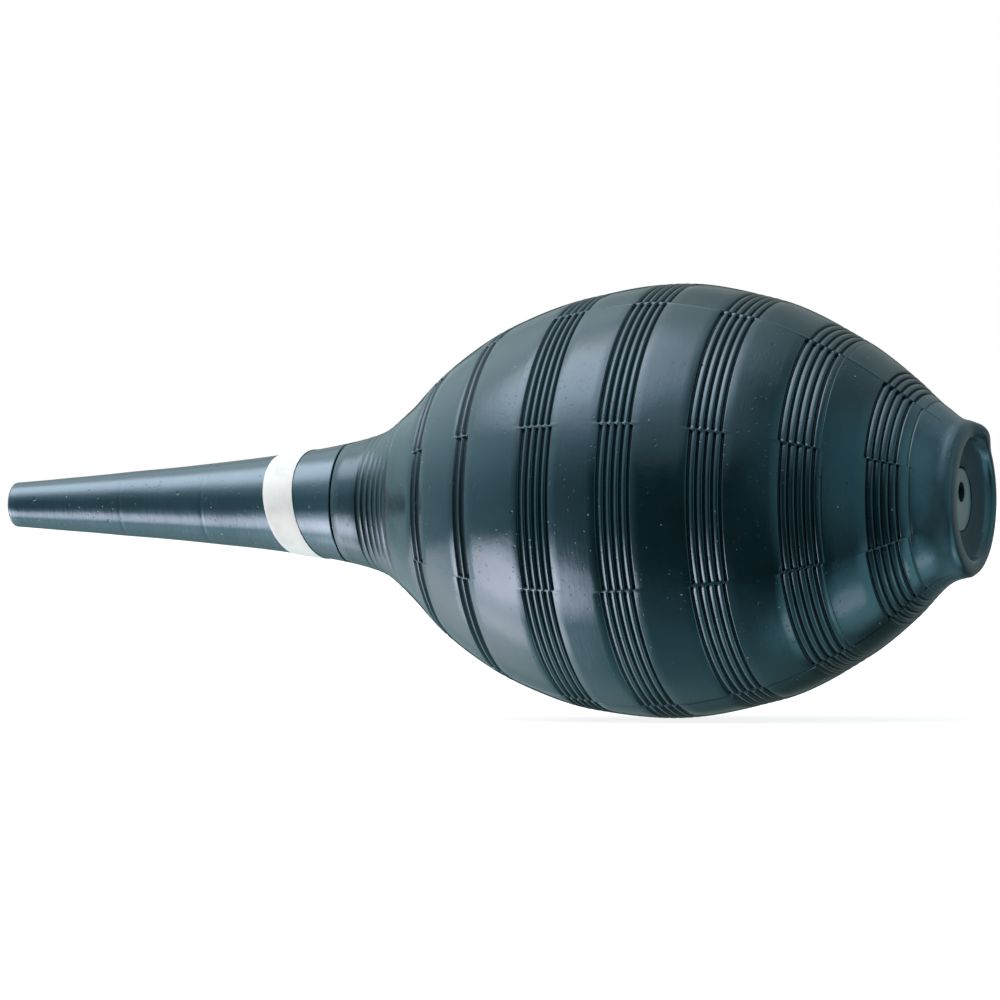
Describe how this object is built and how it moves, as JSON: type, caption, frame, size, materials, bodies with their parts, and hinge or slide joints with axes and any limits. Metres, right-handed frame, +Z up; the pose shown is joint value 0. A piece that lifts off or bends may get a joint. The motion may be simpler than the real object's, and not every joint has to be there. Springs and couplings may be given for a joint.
{
  "type": "dust blower bulb",
  "caption": "Hand blower for watch repair: ribbed hollow rubber bulb, long tapered nozzle and a one-way air inlet valve recessed in its back.",
  "frame": {"origin": "on the floor under the middle of the length, where the bulb's belly plane z = 0 passes", "axes": "X along the turned axis, nozzle tip at -X and rear rim at +X; Z up, the axis level at z = 30 mm; Y to the side"},
  "size_m": [0.1428, 0.06, 0.06],
  "materials": {
    "bulb_rubber": "semi-gloss, faint mould line and pits",
    "nozzle_rubber": "semi-gloss",
    "band_white": "plain matt film",
    "tube_plastic": "satin",
    "valve_grey": "satin grey",
    "disc_rubber": "matt",
    "cage_plastic": "satin"
  },
  "bodies": {
    "front": {"bulb": "bulb_rubber", "nozzle": "nozzle_rubber", "label_band": "band_white", "joint_tube": "tube_plastic"},
    "rear_end": {"inlet_valve_seat": "valve_grey", "inlet_valve_cage": "cage_plastic"},
    "valve_disc": {"inlet_valve_disc": "disc_rubber"}
  },
  "joints": [
    {"name": "squeeze", "type": "slide", "parent": "front", "child": "rear_end", "axis": [-1, 0, 0], "range_m": [0, 0.02], "stiffness_N_per_m": 600, "deforming": ["bulb"]},
    {"name": "valve_lift", "type": "slide", "parent": "rear_end", "child": "valve_disc", "axis": [-1, 0, 0], "range_m": [0, 0.0015]}
  ]
}
